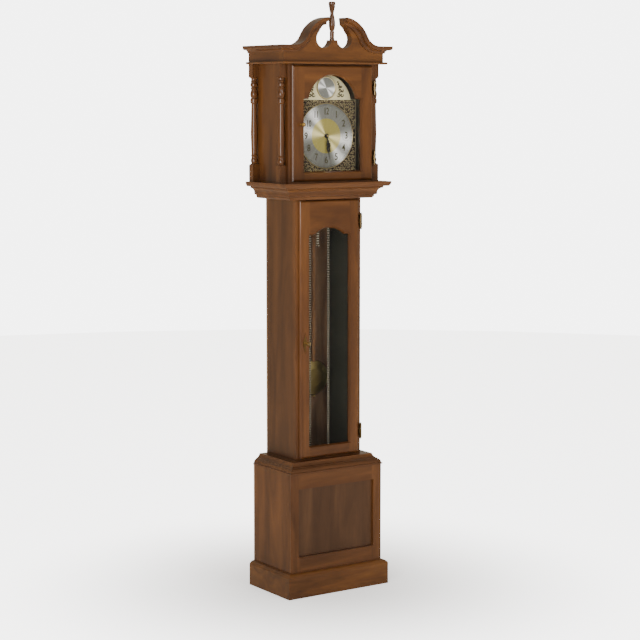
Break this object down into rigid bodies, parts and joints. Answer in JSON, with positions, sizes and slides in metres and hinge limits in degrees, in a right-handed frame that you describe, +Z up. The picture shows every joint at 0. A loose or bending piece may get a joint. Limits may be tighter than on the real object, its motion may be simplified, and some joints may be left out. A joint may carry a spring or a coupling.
{
  "type": "longcase clock",
  "caption": "Slim longcase clock with swan-neck pediment, break-arch dial, glazed hood and trunk doors, brass pendulum and two chain-hung weights",
  "frame": {"origin": "middle of the footprint on the floor", "axes": "+Z up along the case, -Y out of the dial, +X to the right of someone facing the dial"},
  "size_m": [0.409, 0.232, 1.829],
  "materials": {
    "case_wood": "gloss",
    "inner_wood": "matte",
    "pendulum_wood": "satin",
    "clear_glass": "gloss",
    "polished_brass": "polished",
    "gilt_brass": "satin",
    "silvered_brass": "brushed",
    "black_steel": "satin",
    "bright_steel": "brushed"
  },
  "bodies": {
    "case": {"plinth_boards": "case_wood", "base_sides": "case_wood", "base_front_frame": "case_wood", "base_front_panel": "case_wood", "base_moulding": "case_wood", "trunk_sides": "case_wood", "trunk_front_frame": "case_wood", "waist_moulding": "case_wood", "hood_sides": "case_wood", "hood_front_frame": "case_wood", "hood_columns": "case_wood", "frieze_bead": "case_wood", "side_friezes": "case_wood", "pediment_board": "case_wood", "side_cornices": "case_wood", "swan_neck_mouldings": "case_wood", "finial": "case_wood", "base_back": "inner_wood", "base_bottom": "inner_wood", "trunk_back": "inner_wood", "hood_back": "inner_wood", "hood_top": "inner_wood", "seat_board": "inner_wood", "trunk_hinge_fixed_leaves": "polished_brass", "hood_hinge_fixed_leaves": "polished_brass", "chain_left": "polished_brass", "chain_right": "polished_brass", "chain_free_ends": "polished_brass", "movement_plates": "polished_brass", "movement_pillars": "polished_brass", "arch_boss": "polished_brass", "dial_plate": "gilt_brass", "spandrels": "gilt_brass", "dial_centre": "gilt_brass", "chapter_ring": "silvered_brass"},
    "hood_door": {"hood_door_stiles": "case_wood", "hood_door_top_rail": "case_wood", "hood_door_bottom_rail": "case_wood", "hood_door_glass": "clear_glass", "hood_door_knob": "polished_brass", "hood_hinge_door_leaves": "polished_brass"},
    "trunk_door": {"trunk_door_stiles": "case_wood", "trunk_door_top_rail": "case_wood", "trunk_door_bottom_rail": "case_wood", "trunk_door_glass": "clear_glass", "trunk_escutcheon": "polished_brass", "trunk_hinge_door_leaves": "polished_brass"},
    "key": {"trunk_key": "polished_brass"},
    "minute_hand": {"minute_hand": "black_steel", "hand_nut": "polished_brass"},
    "hour_hand": {"hour_hand": "black_steel"},
    "pendulum": {"pendulum_rod": "pendulum_wood", "pendulum_bob": "polished_brass", "rating_nut": "polished_brass", "pallet_crutch": "bright_steel"},
    "weight_left": {"weight_left": "polished_brass"},
    "weight_right": {"weight_right": "polished_brass"},
    "wheel_left": {"chain_wheel_left": "polished_brass"},
    "wheel_right": {"chain_wheel_right": "polished_brass"}
  },
  "joints": [
    {"name": "hood_door_hinge", "type": "hinge", "parent": "case", "child": "hood_door", "pos_m": [0.1555, -0.08, 1.461], "axis": [0, 0, 1], "range_deg": [0, 100]},
    {"name": "trunk_door_hinge", "type": "hinge", "parent": "case", "child": "trunk_door", "pos_m": [0.117, -0.0625, 0.825], "axis": [0, 0, 1], "range_deg": [0, 110]},
    {"name": "key_turn", "type": "hinge", "parent": "trunk_door", "child": "key", "pos_m": [-0.093, -0.062, 0.787], "axis": [0, 1, 0], "range_deg": [0, 90]},
    {"name": "minute_hand_turn", "type": "hinge", "parent": "case", "child": "minute_hand", "pos_m": [0, -0.04, 1.422], "axis": [0, 1, 0], "continuous": true},
    {"name": "hour_hand_turn", "type": "hinge", "parent": "case", "child": "hour_hand", "pos_m": [0, -0.04, 1.422], "axis": [0, 1, 0], "continuous": true},
    {"name": "pendulum_swing", "type": "hinge", "parent": "case", "child": "pendulum", "pos_m": [0, 0.032, 1.455], "axis": [0, 1, 0], "range_deg": [-3, 3]},
    {"name": "weight_left_drop", "type": "slide", "parent": "case", "child": "weight_left", "axis": [0, 0, 1], "range_m": [0, 0.78], "deforming": ["chain_left"]},
    {"name": "weight_right_drop", "type": "slide", "parent": "case", "child": "weight_right", "axis": [0, 0, 1], "range_m": [0, 0.78], "deforming": ["chain_right"]},
    {"name": "wheel_left_turn", "type": "hinge", "parent": "case", "child": "wheel_left", "pos_m": [-0.02, -0.002, 1.352], "axis": [0, 1, 0], "range_deg": [0, 3087.1]},
    {"name": "wheel_right_turn", "type": "hinge", "parent": "case", "child": "wheel_right", "pos_m": [0.02, -0.002, 1.352], "axis": [0, 1, 0], "range_deg": [-3087.1, 0]}
  ],
  "couplings": [
    {"joint": "hour_hand_turn", "follows": "minute_hand_turn", "ratio": 0.083333},
    {"joint": "wheel_left_turn", "follows": "weight_left_drop", "rad_per_m": 68.966},
    {"joint": "wheel_right_turn", "follows": "weight_right_drop", "rad_per_m": -68.966}
  ]
}
